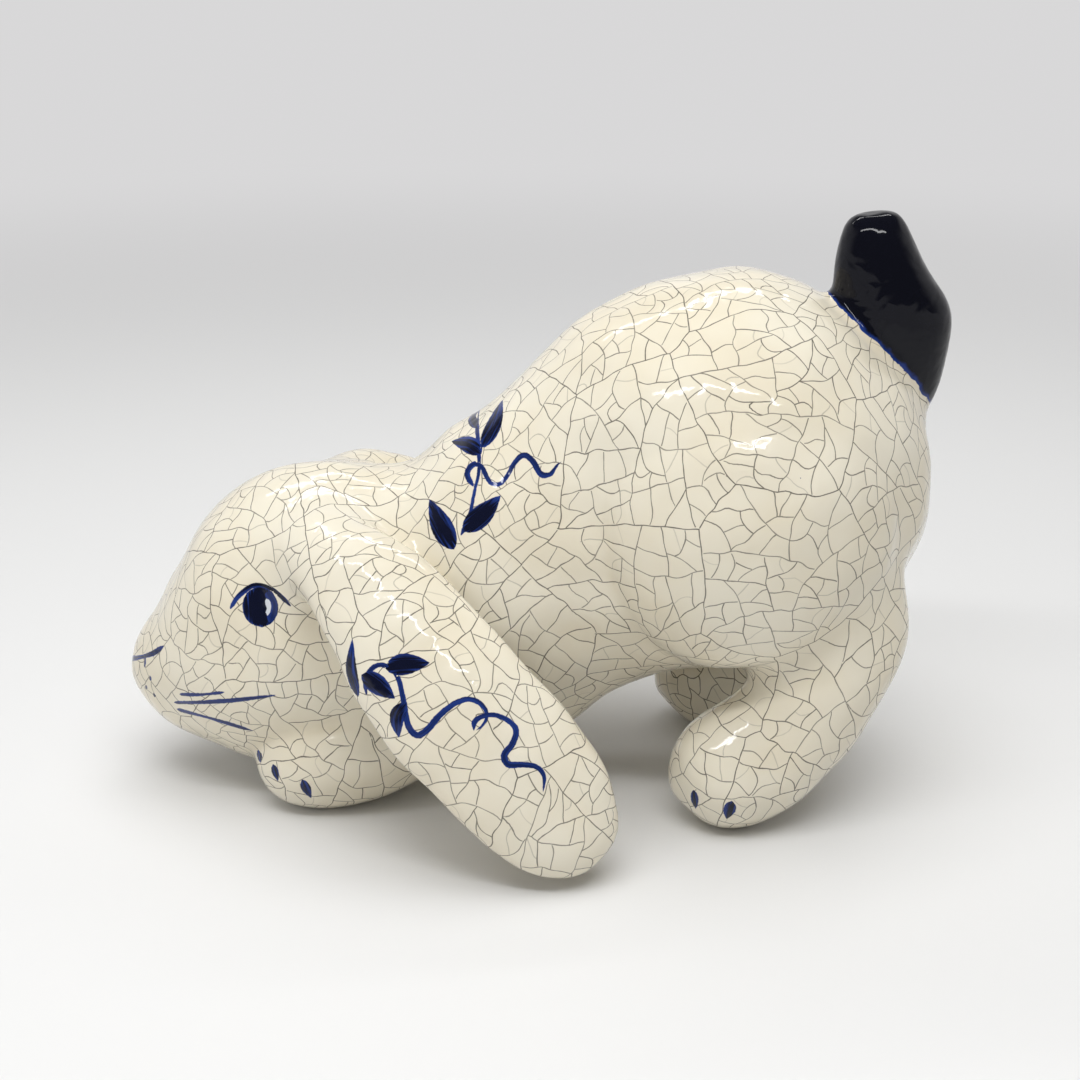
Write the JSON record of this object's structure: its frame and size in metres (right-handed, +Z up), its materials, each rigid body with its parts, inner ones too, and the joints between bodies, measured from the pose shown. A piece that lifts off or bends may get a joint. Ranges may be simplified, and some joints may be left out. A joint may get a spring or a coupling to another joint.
{
  "type": "rabbit figurine",
  "caption": "Crouching lop-eared rabbit ornament in crackle-glazed ceramic, head down and rump up, with a dark upright tail and blue painted sprigs; stands on its paws and feet.",
  "frame": {"origin": "centre of the bounding box on the ground plane the figurine stands on", "axes": "+Z up, the nose towards -X and the tail towards +X, the rabbit's left side towards -Y"},
  "size_m": [0.1804, 0.1216, 0.1287],
  "materials": {
    "crackle_glaze": "glossy",
    "dark_glaze": "glossy"
  },
  "bodies": {
    "root": {"body": "crackle_glaze", "head": "crackle_glaze", "left_ear": "crackle_glaze", "right_ear": "crackle_glaze", "left_forepaw": "crackle_glaze", "right_forepaw": "crackle_glaze", "left_hind_foot": "crackle_glaze", "right_hind_foot": "crackle_glaze", "tail": "dark_glaze"}
  },
  "joints": []
}
